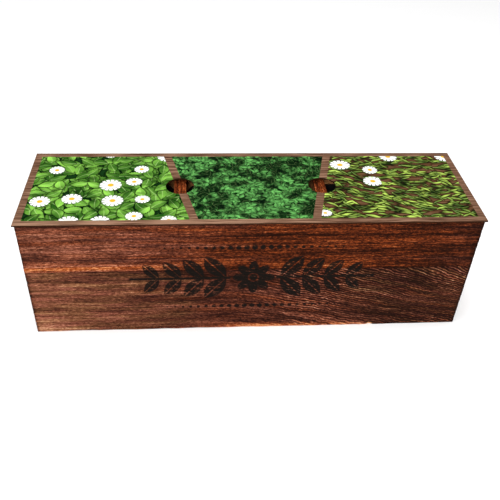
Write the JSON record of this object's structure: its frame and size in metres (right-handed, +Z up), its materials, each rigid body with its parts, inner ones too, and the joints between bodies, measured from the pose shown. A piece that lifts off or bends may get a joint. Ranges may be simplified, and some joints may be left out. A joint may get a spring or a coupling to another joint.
{
  "type": "indoor herb planter",
  "caption": "Long burnt-wood window box with divided planting bays, plastic liner trays, soil discs and seed packets, closed by a flat printed card lid with round lift holes.",
  "frame": {"origin": "centre of the box's footprint, on the surface it stands on", "axes": "+X along the box to the right as seen from the front, -Y out of the front, +Z up"},
  "size_m": [0.3624, 0.1044, 0.1122],
  "materials": {
    "burnt_wood": "scorched and brushed, oiled to a low sheen",
    "bare_wood": "sawn and unfinished, scorched on the top edges",
    "printed_card": "satin printed face on grey board",
    "black_plastic": "thermoformed, satin",
    "coir": "pressed fibre",
    "packet_paper": "uncoated paper",
    "steel": "bright drawn wire"
  },
  "bodies": {
    "box": {"front_upper_board": "burnt_wood", "front_lower_board": "burnt_wood", "back_upper_board": "burnt_wood", "back_lower_board": "burnt_wood", "left_end_upper_board": "burnt_wood", "left_end_lower_board": "burnt_wood", "right_end_upper_board": "burnt_wood", "right_end_lower_board": "burnt_wood", "base_board": "bare_wood", "left_divider": "bare_wood", "right_divider": "bare_wood", "corner_brads": "steel", "divider_brads": "steel", "base_brads": "steel"},
    "lid": {"lid_card": "printed_card"},
    "left_tray": {"left_liner": "black_plastic", "left_coir_disc": "coir", "left_seed_packet": "packet_paper"},
    "centre_tray": {"centre_liner": "black_plastic", "centre_coir_disc": "coir", "centre_seed_packet": "packet_paper"},
    "right_tray": {"right_liner": "black_plastic", "right_coir_disc": "coir", "right_seed_packet": "packet_paper"}
  },
  "joints": [
    {"name": "lid_lift", "type": "slide", "parent": "box", "child": "lid", "axis": [0, 0, 1], "range_m": [0, 0.15]},
    {"name": "left_tray_lift", "type": "slide", "parent": "box", "child": "left_tray", "axis": [0, 0, 1], "range_m": [0, 0.022]},
    {"name": "centre_tray_lift", "type": "slide", "parent": "box", "child": "centre_tray", "axis": [0, 0, 1], "range_m": [0, 0.022]},
    {"name": "right_tray_lift", "type": "slide", "parent": "box", "child": "right_tray", "axis": [0, 0, 1], "range_m": [0, 0.022]}
  ]
}
